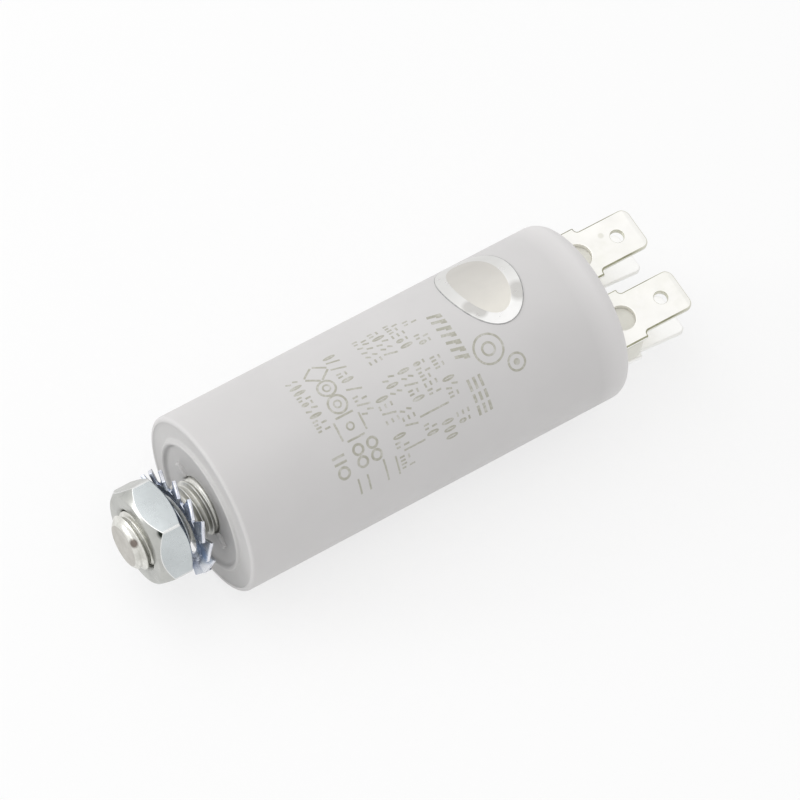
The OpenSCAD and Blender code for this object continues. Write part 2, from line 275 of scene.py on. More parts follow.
def plate_shell(cols=192):
    """The base plate: a closed profile with the raised ring on its face and a hexagon pocket in its back,
    carried round the axis. The pocket's radius follows the angle as a hexagon does."""
    angle = np.arange(cols) * TURN / cols
    pocket = hexagon(angle, 0.0) * (HEX_AF + 0.1) / HEX_AF
    hole_x = 1.5
    spots = [
        (hole_x, STUD_HOLE_R, 0), (PLATE_X, STUD_HOLE_R, 0.15),
        (PLATE_X, 8.4, 0.3), (0.0, 8.75, 0.25), (0.0, 9.2, 0.25), (PLATE_X, 9.4, 0.3),
        (PLATE_X, 11.4, 0.3), (RIM_X + 0.04, PLATE_R, 0), (CAVITY_FOOT, PLATE_R, 0.1),
        (CAVITY_FOOT, pocket, 0.1), (HEAD_FOOT, pocket, 0.05),
        (HEAD_FOOT, STUD_HOLE_R, 0.05), (hole_x, STUD_HOLE_R, 0),
    ]
    return surface(swept(spots, angle))


def plate_rib(turn):
    """A low rib on the base plate, from the stud's hole outward: a bar with rounded edges, sunk in the
    face."""
    at = RIB_AT + turn
    outward = np.array([0, math.cos(at), math.sin(at)])
    sideways = np.array([0, -math.sin(at), math.cos(at)])
    middle = outward * 5.2 + np.array([PLATE_X, 0, 0])
    half, edge = (1.1, 0.6, 0.5), 0.22
    return rounded_bar(middle, half, edge, outward, sideways, np.array([-1.0, 0, 0]))


# Stud, nut and lock washer


def stud_shell(cols=192):
    """The stud: a thread whose radius falls from crest to root by how far a point lies from the crest's
    helix, on a grid sheared along the helix, so that the last column meets the first one pitch further on.
    It is cut to the end chamfer's cone, with a soft edge, and runs out at the base plate, where the hexagon
    head follows. The end face, the turns close behind the nut and the open turns are told apart."""
    phase = np.array([0, 0.05, 0.0825, 0.15, 0.22, 0.29, 0.355, 0.4, 0.45, 0.5])
    phase = np.concatenate([phase, 1 - phase[-2:0:-1]])
    per_pitch = len(phase)
    first = math.floor((STUD_TIP - PITCH) / PITCH) - 1
    count = math.ceil((HEAD_FOOT - first * PITCH) / PITCH) + 2
    along = (first + np.arange(count)[:, None] + phase[None, :]).reshape(-1) * PITCH
    angle = np.arange(cols) * TURN / cols
    x = along[:, None] + PITCH * angle[None, :] / TURN + THREAD_SHIFT
    from_crest = np.abs((np.tile(phase, count) + 0.5) % 1 - 0.5)
    crest, flank = 0.06, 0.3
    fall = np.clip((from_crest - crest) / flank, 0, 1)
    fall = fall - 0.07 * np.sin(TURN * fall)
    run_out_from, run_out_over = -0.5, 0.9
    run_out = eased(np.clip((x - run_out_from) / run_out_over, 0, 1))
    r = STUD_R - THREAD_DEPTH * fall[:, None] * (1 - run_out)
    x = np.clip(x, STUD_TIP, HEAD_FOOT)
    soft = 0.12
    inward = x - STUD_TIP
    cone = STUD_END_R + inward / STUD_END_L - soft * np.clip(1 - inward / soft, 0, 1) ** 2
    r = np.where(x >= HEAD_FOOT, STUD_R, np.minimum(r, cone))
    rows = len(along)
    within = grid_faces(rows, cols, ring_cols=False)
    here = np.arange(rows - 1 - per_pitch) * cols
    there = here + per_pitch * cols
    seam = np.stack([here + cols - 1, here + 2 * cols - 1, there + cols, there], -1)
    shank = round_axis(x, r, angle[None, :]).reshape(-1, 3), np.concatenate([within, seam])
    wide = hexagon(angle, 0.0)
    head_spots = [
        (HEAD_FOOT, STUD_R, 0), (HEAD_FOOT, wide, 0.08), (HEAD_TOP, wide, 0.3), (HEAD_TOP, 0.0, 0),
    ]
    head = surface(swept(head_spots, angle))
    face_r = np.array([STUD_END_R - soft, 2.7, 2.0, 1.0, 0.0])
    face = surface(round_axis(np.full((5, 1), STUD_TIP), face_r[:, None], angle[None, :]))
    behind_nut = shank[0][shank[1]].mean(1)[:, 0] - NUT_IN
    in_shade = np.abs(behind_nut - 0.6) < 0.8
    kind = np.where(in_shade, 2, np.where(behind_nut > 0, 3, 0))
    return [shank, head, face], [kind, 0, 1]


def nut_shell():
    """The nut: at each angle a profile from the bore over the outer face, the chamfer cone, the flat and
    the inner chamfer. A cone meets the flats on a curve, as the hexagon's radius changes with the angle.
    The rounded edges of the flats, which take a painted highlight, and the outer face with its chamfer are
    told apart; one flat takes the outer face's darker finish as painted shade."""
    per_side = 36
    half = per_side // 2
    u = np.linspace(-1, 1, per_side + 1)[:-1]
    off = np.sign(u) * np.abs(u) ** 1.7 * TURN / 12
    angle = (NUT_ANGLE + np.arange(6)[:, None] * TURN / 6 + off[None, :]).reshape(-1)
    wide = hexagon(angle, NUT_ANGLE, 0.2)
    share = (wide - NUT_FACE_R) / (HEX_R - NUT_FACE_R)
    middle, bore, sink = -7.2, NUT_BORE_R, NUT_BORE_R + NUT_SINK
    spots = [
        (middle, bore, 0), (NUT_OUT + NUT_SINK, bore, 0.1),
        (NUT_OUT, sink, 0.1), (NUT_OUT, NUT_FACE_R, 0.14),
        (NUT_OUT + NUT_CHAMFER_OUT * share, wide, 0.07), (NUT_IN - NUT_CHAMFER_IN * share, wide, 0.12),
        (NUT_IN, NUT_FACE_R, 0.12), (NUT_IN, sink, 0.1),
        (NUT_IN - NUT_SINK, bore, 0.1), (middle, bore, 0),
    ]
    points = swept(spots, angle, 5)
    edge_first, edge_last, flat_last = 19, 23, 30
    row, col = np.meshgrid(np.arange(len(points) - 1), np.arange(len(angle)), indexing="ij")
    at_corner = np.abs(col % per_side + 0.5 - half) < 3
    # One flat takes the outer face's darker finish: painted shade.
    shaded_flat = (col < half) | (col >= len(angle) - half)
    kind = np.where((row < edge_first) | shaded_flat, 2, 0)
    # The rounded edges and the corners between flats take the painted highlight.
    kind = np.where((row >= edge_first) & (row <= edge_last), 1, kind)
    kind = np.where(at_corner & (row >= edge_last) & (row <= flat_last), 1, kind)
    return surface(points), kind.reshape(-1)


def leaned(points):
    """Washer points, drawn flat about the origin, leaned in the lean's direction and hung on the stud."""
    x, y, z = points[..., 0], points[..., 1], points[..., 2]
    c, s = math.cos(WASHER_LEAN), math.sin(WASHER_LEAN)
    x, z = x * c + z * s, z * c - x * s
    c, s = math.cos(WASHER_LEAN_AT), math.sin(WASHER_LEAN_AT)
    x, y = x * c - y * s, x * s + y * c
    x = x + WASHER_HANG * math.cos(WASHER_HANG_AT)
    y = y + WASHER_HANG * math.sin(WASHER_HANG_AT)
    return np.stack([z + WASHER_X, x, y], -1)


def washer_ring(cols=168):
    """The washer's flat ring: a rounded rectangle carried round the axis. Its side towards the nut is told
    apart, for painted shade."""
    mid_r, t = (WASHER_HOLE_R + WASHER_RING_R) / 2, WASHER_HALF_T
    corners = np.array([
        [mid_r, -t], [WASHER_RING_R, -t], [WASHER_RING_R, t],
        [WASHER_HOLE_R, t], [WASHER_HOLE_R, -t], [mid_r, -t],
    ])
    section = softened(corners, [0, 0.12, 0.12, 0.12, 0.12, 0])
    angle = np.arange(cols) * TURN / cols
    r, z = section[:, None, 0], section[:, None, 1]
    x, y, z = np.broadcast_arrays(r * np.cos(angle), r * np.sin(angle), z)
    points, faces = surface(np.stack([x, y, z], -1))
    row = np.repeat(np.arange(len(section) - 1), cols)
    return (leaned(points), faces), ((row == 0) | (row == len(section) - 2)).astype(int)


def washer_teeth(count=14):
    """The washer's teeth: a rounded rectangle that widens as it is carried out along a radius and is turned
    about it, from flat in the ring to the full twist near the tip. The tips end on the washer's round
    outline. The side towards the nut, for painted shade, and the tips, for a painted highlight, are told
    apart."""
    root_w, tip_w, edge, root, tip = 1.0, 1.45, 0.1, 5.1, HEX_R
    round_off = np.linspace(0, TURN / 4, 6)[1:]
    s = np.concatenate([[0], np.linspace(0, 0.95, 15), 0.95 + 0.05 * np.sin(round_off), [1]])
    inset = np.concatenate([np.zeros(16), edge * (1 - np.cos(round_off)), [edge]])[:, None] * 0.98
    half_w = (root_w + (tip_w - root_w) * s)[:, None]
    a = np.radians(np.linspace(0, 90, 6))
    corner_y = half_w - edge + (edge - inset) * np.cos(a)
    corner_z = WASHER_HALF_T - edge + (edge - inset) * np.sin(a)
    y = np.concatenate([corner_y, -corner_y[:, ::-1], -corner_y, corner_y[:, ::-1]], 1)
    z = np.concatenate([corner_z, corner_z[:, ::-1], -corner_z, -corner_z[:, ::-1]], 1)
    y[[0, -1]] = 0
    z[[0, -1]] = 0
    twist_from, twist_over = 5.3, 0.9
    out = np.clip((root + s * (tip - root) - twist_from) / twist_over, 0, 1)
    twist = TOOTH_TWIST * eased(out)[:, None]
    y, z = y * np.cos(twist) + z * np.sin(twist), z * np.cos(twist) - y * np.sin(twist)
    x = root + s[:, None] * (np.sqrt(tip ** 2 - y ** 2) - root)
    at = TOOTH_AT + np.arange(count)[:, None, None] * TURN / count
    across, over = x * np.cos(at) - y * np.sin(at), x * np.sin(at) + y * np.cos(at)
    points, faces = copies(np.stack(np.broadcast_arrays(across, over, z[None]), -1))
    nut_side, tip_from = 17, 19
    row, col = np.meshgrid(np.arange(len(s) - 1), np.arange(y.shape[1]), indexing="ij")
    # The tips take a painted highlight, the side towards the nut painted shade.
    kind = np.where(row >= tip_from, 2, np.where(col == nut_side, 1, 0))
    return (leaned(points), faces), np.tile(kind.reshape(-1), count)


# Label and ink


def label_shell(cols=160):
    """The oval seal label, wrapped on the case: ovals that widen to the edge on its underside, and are then
    drawn in over the rim by equal margins and over the film by equal shares to the middle. The lift over
    the case gives a rounded edge and a step between rim and film."""
    under = np.array([0.0, 0.6, 1.0])
    margin = np.array([0, 0.02, 0.06, 0.12, 0.22, 0.6, 1.1, 1.55, 1.62, 1.68, 1.75, LABEL_RIM])
    share = np.array([0.8, 0.6, 0.4, 0.2, 0.0])
    half_x, half_s = (
        np.concatenate([half * under, half - margin, (half - LABEL_RIM) * share])
        for half in (LABEL_HALF_X, LABEL_HALF_S)
    )
    rim_lift = [0.05, 0.085, 0.105, 0.12, 0.12, 0.12, 0.12, 0.12, 0.113, 0.098, 0.09, 0.09]
    lift = np.concatenate([np.full(len(under), SUNK), rim_lift, np.full(len(share), 0.09)])
    a = np.arange(cols) * TURN / cols
    angle = LABEL_AT + half_s[:, None] * np.cos(a) / CASE_R
    return surface(round_axis(LABEL_X + half_x[:, None] * np.sin(a), CASE_R + lift[:, None], angle))


def ink_strokes(x_from, x_to, at_from, at_to, width, steps=5):
    """Straight strokes of ink on the case: thin slabs, each of one width and carried along a line from one
    place to another on the unrolled case, given as x in millimetres and as an angle in degrees."""
    ends = (x_from, x_to, at_from, at_to, width)
    x_from, x_to, at_from, at_to, width = (np.asarray(v, float)[:, None, None] for v in ends)
    s_from, s_to = np.radians(at_from) * CASE_R, np.radians(at_to) * CASE_R
    length = np.hypot(x_to - x_from, s_to - s_from)
    along_x, along_s = (x_to - x_from) / length, (s_to - s_from) / length
    t = np.linspace(0, 1, steps)
    t = np.concatenate([t[:1], t, t[-1:]])[None, :, None]
    side = np.array([-0.5, 0.5, 0.5, -0.5]) * width + 0 * t
    lift = np.array([SUNK, SUNK, INK_LIFT, INK_LIFT]) + 0 * side
    side[:, [0, -1]] = 0
    lift[:, [0, -1]] = (SUNK + INK_LIFT) / 2
    x = x_from + (x_to - x_from) * t - along_s * side
    s = s_from + (s_to - s_from) * t + along_x * side
    return copies(round_axis(x, CASE_R + lift, s / CASE_R))


def ink_ring(x, at, half_x, half_s, stroke, cols=48):
    """A plain oval ring of ink on the case: a thin slab carried round an oval, whose sideways reach is laid
    round the case. A stroke as wide as the oval gives a dot."""
    a = np.arange(cols) * TURN / cols
    drawn_in = np.array([stroke, 0, 0, stroke])[:, None]
    lift = np.array([SUNK, SUNK, INK_LIFT, INK_LIFT])[:, None]
    along, across = np.maximum(half_x - drawn_in, 0.01), np.maximum(half_s - drawn_in, 0.01)
    angle = math.radians(at) + across * np.cos(a) / CASE_R
    return surface(round_axis(x + along * np.sin(a), CASE_R + lift, angle), ring_rows=True)


def print_field():
    """The faded print: rows of loose strokes, rings and dots that stand where lines of small print would.
    Each row has cells of one width, and each cell takes one of a few plain shapes in a fixed shuffle.
    Places round the case are in degrees."""
    shuffle = np.random.RandomState(5)
    rows = [
        (14.8, 16.6, 67.0, 107, 4.4),
        (21.1, 22.9, 62, 71, 4.6), (21.1, 22.9, 78, 88, 4.6), (21.1, 22.9, 96, 110, 4.6),
        (23.5, 25.4, 103, 122, 4.6), (23.5, 25.4, 127, 137, 5.0), (23.5, 25.4, 141, 151, 5.0),
        (25.7, 27.5, 62, 84, 4.6), (25.7, 27.5, 94, 108, 4.6), (25.7, 27.5, 115, 131, 4.6),
        (28.0, 29.8, 62, 84, 4.6), (28.0, 29.8, 94, 117, 4.6), (28.0, 29.8, 130, 140, 4.8),
        (30.4, 32.2, 62, 84, 4.6), (30.4, 32.2, 94, 119, 4.6), (30.4, 32.2, 133, 149, 5.0),
        (32.8, 34.6, 66, 71, 5.0), (32.8, 34.6, 79, 88, 4.6), (32.8, 34.6, 96, 104, 4.6),
        (32.8, 34.6, 110, 125, 4.8), (32.8, 34.6, 132, 142, 5.0),
    ]
    loose = [
        [(0.0, 0.42, 0.10, 0.10), (0.58, 1.0, 0.62, 0.62), (0.0, 0.3, 0.62, 0.62)],
        [(0.0, 1.0, 0.15, 0.60)],
        [(0.05, 0.05, 0.08, 0.66), (0.5, 0.5, 0.08, 0.66), (0.95, 0.95, 0.08, 0.66)],
        [(0.05, 0.40, 0.20, 0.55), (0.60, 0.95, 0.20, 0.55)],
        [(0.55, 1.0, 0.10, 0.36), (0.0, 0.42, 0.40, 0.66)],
        [(0.0, 0.38, 0.12, 0.12), (0.0, 0.38, 0.62, 0.62), (0.7, 0.7, 0.10, 0.66)],
    ]
    strokes, shells = [], []
    for low, high, start, end, cell in rows:
        tall = high - low
        half_s = 0.30 * cell * MM_PER_DEGREE
        for k in range(int((end - start) / cell + 0.5)):
            pick = int(shuffle.randint(9))
            left = start + k * cell
            middle = left + 0.38 * cell
            if pick < len(loose):
                for a, b, c, d in loose[pick]:
                    strokes.append((low + a * tall, low + b * tall, left + c * cell, left + d * cell, FINE))
            elif pick < 8:
                shells.append(ink_ring(low + tall / 2, middle, tall / 2, half_s, FINE, 32))
            else:
                shells.append(ink_ring(low + 0.3 * tall, middle, 0.3 * tall, half_s, FINE, 32))
                bar = low + 0.85 * tall
                strokes.append((bar, bar, left + 0.12 * cell, left + 0.62 * cell, FINE))
    for start in (72.0, 77.0, 82.5, 87.5, 93.0, 98.0, 103.0):
        strokes += [(35.8, 37.7, start, start + 2.2, 0.42), (36.9, 37.7, start + 2.6, start + 3.6, 0.3)]
    for x in (35.9, 36.75, 37.6):
        strokes += [(x, x, 118.0, 125.5, 0.4), (x, x, 127.5, 133.0, 0.4), (x, x, 135.0, 141.5, 0.4)]
    strokes += [
        (17.4, 19.0, 70, 64.6, 0.3), (19.3, 20.8, 64.6, 70, 0.3),
        (20.8, 19.3, 71.4, 76.6, 0.3), (19.0, 17.4, 76.6, 71.4, 0.3),
        (17.2, 17.2, 104, 116, 0.28), (20.8, 20.8, 105, 116, 0.28),
        (17.7, 20.3, 102.6, 102.6, 0.28), (17.7, 20.3, 117.6, 117.6, 0.28),
        (21.3, 21.3, 137, 152, FINE), (23.0, 23.0, 139, 152, FINE),
        (17.2, 17.2, 141, 152, FINE), (18.6, 18.6, 141, 152, FINE),
        (14.8, 16.6, 123.0, 123.0, 0.34), (14.8, 16.6, 127.0, 127.0, 0.34),
        (28.0, 32.4, 124.5, 124.5, FINE), (24.4, 27.6, 138.5, 138.5, FINE),
        (21.0, 23.0, 73.0, 76.0, FINE), (21.0, 23.0, 90.0, 93.0, FINE),
    ]
    shells.append(ink_strokes(*np.array(strokes).T))
    shells += [
        ink_ring(40.4, 107.5, 2.15, 2.15, 0.3), ink_ring(40.4, 107.5, 1.0, 1.0, 0.3),
        ink_ring(43.1, 122.0, 1.3, 1.3, 0.3), ink_ring(43.1, 122.0, 0.45, 0.45, 0.45, 32),
        ink_ring(19.0, 83.0, 1.35, 1.3, 0.3), ink_ring(19.0, 95.0, 1.4, 1.4, 0.3),
    ]
    shells += [ink_ring(19.0, at, 0.6, 0.6, 0.24, 32) for at in (83.0, 95.0, 110.0)]
    shells += [ink_ring(x, at, 0.85, 0.85, 0.34, 40) for x in (18.6, 20.7) for at in (124.5, 132.5)]
    shells.append(ink_ring(15.7, 133.5, 0.9, 0.95, 0.36, 40))
    return shells


# Finishes


def set_up(node, **values):
    """A node with values set on its sockets, named here with underscores for spaces."""
    for socket, value in values.items():
        node.inputs[socket.replace("_", " ")].default_value = value
    return node


def new_node(tree, kind, **values):
    """A new shader node with values set on its sockets."""
    return set_up(tree.nodes.new("ShaderNode" + kind), **values)


def start_finish(name, **values):
    """A new material, its tree and its shader, with uniform values set on the shader's sockets."""
    material = bpy.data.materials.new(name)
    material.use_nodes = True
    tree = material.node_tree
    return material, tree, set_up(tree.nodes["Principled BSDF"], **values)


def coated(tree, shader, colour, gloss):
    """Gives a shader its colour and its gloss."""
    tree.links.new(colour, shader.inputs["Base Color"])
    tree.links.new(gloss, shader.inputs["Roughness"])


def cloud(tree, scale, detail=3.0, stretch=(1, 1, 1), shift=(0, 0, 0)):
    """Noise in the object's own space, scale in features a metre, stretched along the axes where asked."""
    coords = new_node(tree, "TexCoord")
    mapping = new_node(tree, "Mapping", Scale=stretch, Location=shift)
    noise = new_node(tree, "TexNoise", Scale=scale, Detail=detail)
    tree.links.new(coords.outputs["Object"], mapping.inputs["Vector"])
    tree.links.new(mapping.outputs["Vector"], noise.inputs["Vector"])
    return noise.outputs["Fac"]


def tinted(tree, factor, stops):
    """Colours spread over a factor from 0 to 1, as (place, colour) stops."""
    ramp = new_node(tree, "ValToRGB")
    while len(ramp.color_ramp.elements) < len(stops):
        ramp.color_ramp.elements.new(0.5)
    for element, (place, colour) in zip(ramp.color_ramp.elements, stops):
        element.position = place
        element.color = tuple(colour) + (1.0,)
    tree.links.new(factor, ramp.inputs["Fac"])
    return ramp.outputs["Color"]


def two_tone(dark, light):
    """Stops from a dark to a light tone over the middle of a factor's range."""
    return [(0.35, dark), (0.65, light)]


def spread(tree, factor, low, high, start=0.3, end=0.7):
    """A factor's range from start to end, spread from low to high."""
    node = new_node(tree, "MapRange", From_Min=start, From_Max=end, To_Min=low, To_Max=high)
    tree.links.new(factor, node.inputs["Value"])
    return node.outputs["Result"]


def mixed(tree, factor, first, second):
    """Two colours mixed by a factor; each is an output or a fixed colour."""
    node = new_node(tree, "Mix")
    node.data_type = "RGBA"
    tree.links.new(factor, node.inputs[0])
    for socket, value in ((node.inputs[6], first), (node.inputs[7], second)):
        if isinstance(value, tuple):
            socket.default_value = value + (1.0,)
        else:
            tree.links.new(value, socket)
    return node.outputs[2]


def sums(tree, *terms):
    """A sum of outputs, each with its own weight."""
    total = None
    for output, weight in terms:
        node = new_node(tree, "Math")
        node.operation = "MULTIPLY_ADD"
        node.inputs[1].default_value = weight
        node.inputs[2].default_value = 0.0
        tree.links.new(output, node.inputs[0])
        if total is not None:
            tree.links.new(total, node.inputs[2])
        total = node.outputs[0]
    return total


def raised(tree, shader, height, strength, distance):
    """Fine relief from a height, in metres at full height."""
    bump = new_node(tree, "Bump", Strength=strength, Distance=distance)
    tree.links.new(height, bump.inputs["Height"])
    tree.links.new(bump.outputs["Normal"], shader.inputs["Normal"])


def near(tree, spot, reach):
    """One close to a spot on the piece, given in millimetres, and zero from its reach outward."""
    coords = new_node(tree, "TexCoord")
    away = new_node(tree, "VectorMath")
    away.operation = "DISTANCE"
    away.inputs[1].default_value = [v * MM for v in spot]
    tree.links.new(coords.outputs["Object"], away.inputs[0])
    return spread(tree, away.outputs["Value"], 1.0, 0.0, reach * 0.55 * MM, reach * MM)


def place_along(tree, axis, start, end):
    """How far a point lies from start to end along one axis, in millimetres, as a factor from 0 to 1."""
    coords = new_node(tree, "TexCoord")
    parts = new_node(tree, "SeparateXYZ")
    tree.links.new(coords.outputs["Object"], parts.inputs["Vector"])
    return spread(tree, parts.outputs[axis], 0.0, 1.0, start * MM, end * MM)


def faded(tree, colour, fade):
    """A colour that goes over to a tone along an axis. The fade gives axis, start, end and tone, or is
    None."""
    if fade is None:
        return colour
    axis, start, end, tone = fade
    return mixed(tree, place_along(tree, axis, start, end), colour, tone)


def satin_plastic(name, light, dark, seed, fade=None):
    """Moulded plastic: faint clouds in its grey, a satin sheen that varies a little, and a fine
    spark-eroded grain. A fade is a tone it takes along an axis; in this script it is painted light or
    painted shade."""
    material, tree, shader = start_finish(name, Metallic=0.0, IOR=1.46, Specular_IOR_Level=0.35)
    clouds = cloud(tree, 110, 4.0, shift=(seed, 0, 0))
    colour = faded(tree, tinted(tree, clouds, [(0.3, dark), (0.7, light)]), fade)
    coated(tree, shader, colour, spread(tree, cloud(tree, 420, 3.0), 0.46, 0.58))
    height = sums(tree, (cloud(tree, 5200, 3.0), 0.7), (cloud(tree, 700, 2.0), 0.3))
    raised(tree, shader, height, 0.10, 0.00004)
    return material


def plated_metal(
        name, stops, rough, tint_scale, relief, stretch=(1, 1, 1), marks=(), metallic=1.0, fade=None):
    """Plated metal: a tint that shifts in soft patches, cloudy gloss, and a fine pebbled relief. Marks are
    spots of another colour on it, each given by its place, its reach and its colour; in this script they
    are painted shade and painted dark reflection. A fade is a tone it takes along an axis; in this script
    it is painted light or painted shade."""
    material, tree, shader = start_finish(name, Metallic=metallic)
    large = cloud(tree, tint_scale, 3.0, stretch, (3, 1, 2))
    patches = sums(tree, (large, 0.75), (cloud(tree, tint_scale * 6, 2.0, stretch), 0.25))
    colour = faded(tree, tinted(tree, patches, stops), fade)
    for spot, reach, stain in marks:
        colour = mixed(tree, near(tree, spot, reach), colour, stain)
    gloss = spread(tree, cloud(tree, tint_scale * 2.5, 3.0, stretch), rough[0], rough[1])
    coated(tree, shader, colour, gloss)
    height = sums(tree, (cloud(tree, 6500, 2.0, stretch), 0.6), (cloud(tree, 1500, 3.0, stretch), 0.4))
    raised(tree, shader, height, relief, 0.00003)
    return material


def ink_finish():
    """Worn ink: olive grey that thins out to the plastic's grey in small flecks."""
    material, tree, shader = start_finish("worn_ink", Metallic=0.0, IOR=1.46, Specular_IOR_Level=0.3)
    wear = sums(tree, (cloud(tree, 900, 3.0), 0.65), (cloud(tree, 3600, 2.0), 0.35))
    stops = [(0.34, (0.41, 0.40, 0.34)), (0.5, (0.48, 0.47, 0.41)), (0.66, (0.60, 0.59, 0.56))]
    coated(tree, shader, tinted(tree, wear, stops), spread(tree, wear, 0.62, 0.5))
    raised(tree, shader, wear, 0.08, 0.00003)
    return material


def label_rim_finish():
    """Silvered rim of the label: bright foil with a painted reflection, greyer towards the top of the case
    and in grey patches, and soft waves from being pressed on by hand."""
    material, tree, shader = start_finish("label_rim_foil", Metallic=0.6)
    clouds = cloud(tree, 230, 2.0, (1, 1, 1), (0.7, 0.2, 0.4))
    # Greyer towards +Y, the top of the case: painted reflection.
    patches = sums(tree, (clouds, 0.35), (place_along(tree, 1, 9.0, -1.5), 0.55))
    stops = [(0.15, (0.66, 0.655, 0.64)), (0.45, (0.80, 0.795, 0.78)), (0.72, (0.91, 0.905, 0.895))]
    colour = tinted(tree, patches, stops)
    # Grey patches of painted reflection on the foil.
    for spot, reach in (((48.2, 1.3, 12.55), 1.9), ((41.4, 2.3, 12.4), 1.3), ((42.2, 1.1, 12.57), 1.2)):
        colour = mixed(tree, near(tree, spot, reach), colour, (0.60, 0.59, 0.57))
    coated(tree, shader, colour, spread(tree, cloud(tree, 900, 3.0), 0.26, 0.38))
    raised(tree, shader, cloud(tree, 380, 2.0), 0.35, 0.00012)
    return material


def label_film_finish():
    """Pearl film in the label's middle: beige towards the top of the case, cream below, softly glossy."""
    material, tree, shader = start_finish(
        "label_pearl_film", Metallic=0.15, Specular_IOR_Level=0.45, Coat_Weight=0.2, Coat_Roughness=0.3)
    patches = sums(
        tree, (place_along(tree, 1, 8.5, 0.5), 0.7),
        (cloud(tree, 160, 2.0, (1, 1, 1), (0.1, 0.5, 0.3)), 0.35), (cloud(tree, 1400, 3.0), 0.1))
    stops = [(0.2, (0.56, 0.54, 0.505)), (0.55, (0.66, 0.64, 0.60)), (0.9, (0.78, 0.755, 0.695))]
    gloss = spread(tree, cloud(tree, 700, 3.0), 0.36, 0.48)
    coated(tree, shader, tinted(tree, patches, stops), gloss)
    raised(tree, shader, cloud(tree, 600, 3.0), 0.2, 0.00006)
    return material


def label_edge_finish():
    """Cut edge of the label: a thin grey line of painted shade."""
    material, tree, shader = start_finish("label_edge_painted_shade", Metallic=0.0)
    edge_shade_tone = tinted(tree, cloud(tree, 1600, 3.0), two_tone((0.30, 0.30, 0.30), (0.44, 0.44, 0.43)))
    coated(tree, shader, edge_shade_tone, spread(tree, cloud(tree, 900, 2.0), 0.5, 0.7))
    return material


def inner_finish(name, light, dark, scale, rough, metallic=0.0, stretch=(1, 1, 1), relief=0.2):
    """Finish of a piece sealed inside the case: two tones of its own stuff in clouds, with some relief."""
    material, tree, shader = start_finish(name, Metallic=metallic)
    clouds = cloud(tree, scale, 4.0, stretch)
    gloss = spread(tree, cloud(tree, scale * 3, 3.0, stretch), rough - 0.06, rough + 0.06)
    coated(tree, shader, tinted(tree, clouds, two_tone(dark, light)), gloss)
    raised(tree, shader, cloud(tree, scale * 6, 3.0, stretch), relief, 0.00008)
    return material


# The case's plastic turns lighter towards its rounded end at the blades: painted light.
case_plastic = satin_plastic(
    "case_satin_plastic", (0.665, 0.653, 0.650), (0.642, 0.630, 0.627), 0.0,
    fade=(0, 54.0, 59.0, (0.797, 0.782, 0.778)))
# The plate's plastic turns darker towards its lower side: painted shade.
plate_plastic = satin_plastic(
    "plate_satin_plastic", (0.607, 0.600, 0.594), (0.580, 0.573, 0.567), 5.0,
    fade=(2, 2.0, -8.0, (0.481, 0.475, 0.470)))
# The blocks between the blades take a lighter copy of the case's plastic: painted light against the shade
# between the blades.
pedestal_painted_light_plastic = satin_plastic(
    "pedestal_plastic_painted_light", (0.87, 0.86, 0.79), (0.85, 0.84, 0.77), 9.0)
# The stud's dark spot on the end chamfer, where the thread runs out, is painted shade.
stud_zinc = plated_metal(
    "stud_turned_zinc", two_tone((0.60, 0.595, 0.555), (0.80, 0.795, 0.755)),
    (0.28, 0.4), 900, 0.22, (0.4, 1, 1), marks=[((-10.95, -1.5, 3.05), 0.75, (0.21, 0.18, 0.16))])
# The open thread turns darker towards -Y, away from the key lamp: painted shade.
stud_thread = plated_metal(
    "stud_open_thread", two_tone((0.60, 0.595, 0.555), (0.80, 0.795, 0.755)),
    (0.3, 0.42), 900, 0.22, (0.4, 1, 1), fade=(1, 0.5, -3.6, (0.40, 0.40, 0.37)))
stud_shade = plated_metal(
    "stud_thread_in_shade", two_tone((0.47, 0.49, 0.50), (0.63, 0.65, 0.655)),
    (0.3, 0.42), 900, 0.22, (0.4, 1, 1))
stud_end = plated_metal(
    "stud_sawn_end", two_tone((0.50, 0.485, 0.45), (0.60, 0.585, 0.55)), (0.42, 0.55), 700, 0.5)
# The nut's rounded edges and corners take a lighter copy of its zinc: a painted highlight.
nut_zinc = plated_metal(
    "nut_bright_zinc", two_tone((0.53, 0.562, 0.57), (0.595, 0.63, 0.64)), (0.24, 0.32), 260, 0.015)
nut_edge_highlight = plated_metal(
    "nut_edge_painted_highlight", two_tone((0.68, 0.69, 0.68), (0.80, 0.805, 0.80)), (0.2, 0.3), 500, 0.05)
# The turned outer face's finish, laid also on one flat as painted shade; the near-black spot on the chamfer
# at a corner is a painted dark reflection.
nut_face_and_shade = plated_metal(
    "nut_turned_face_and_painted_shade", two_tone((0.43, 0.435, 0.415), (0.52, 0.525, 0.50)),
    (0.26, 0.38), 330, 0.2, marks=[((-8.1, -3.45, 6.64), 0.95, (0.025, 0.03, 0.025))])
washer_zinc = plated_metal(
    "washer_blue_zinc", two_tone((0.50, 0.53, 0.62), (0.72, 0.75, 0.80)), (0.14, 0.26), 420, 0.18)
# The washer's sides towards the nut: painted shade in the plating's blue, darkest at one tooth's root, and
# lighter on the lower teeth as painted light.
washer_shade_and_light = plated_metal(
    "washer_blue_painted_shade_and_light",
    [(0.32, (0.05, 0.065, 0.125)), (0.5, (0.24, 0.285, 0.39)), (0.68, (0.52, 0.57, 0.64))],
    (0.18, 0.3), 520, 0.1, marks=[((-3.76, -6.3, 1.0), 2.0, (0.32, 0.42, 0.62))], metallic=0.55,
    fade=(1, -5.2, -7.4, (0.80, 0.82, 0.86)))
# The tooth tips take a lighter copy of the washer's zinc: a painted highlight.
washer_tip_highlight = plated_metal(
    "washer_tip_painted_highlight", two_tone((0.58, 0.60, 0.67), (0.84, 0.85, 0.89)), (0.2, 0.3), 700, 0.12)
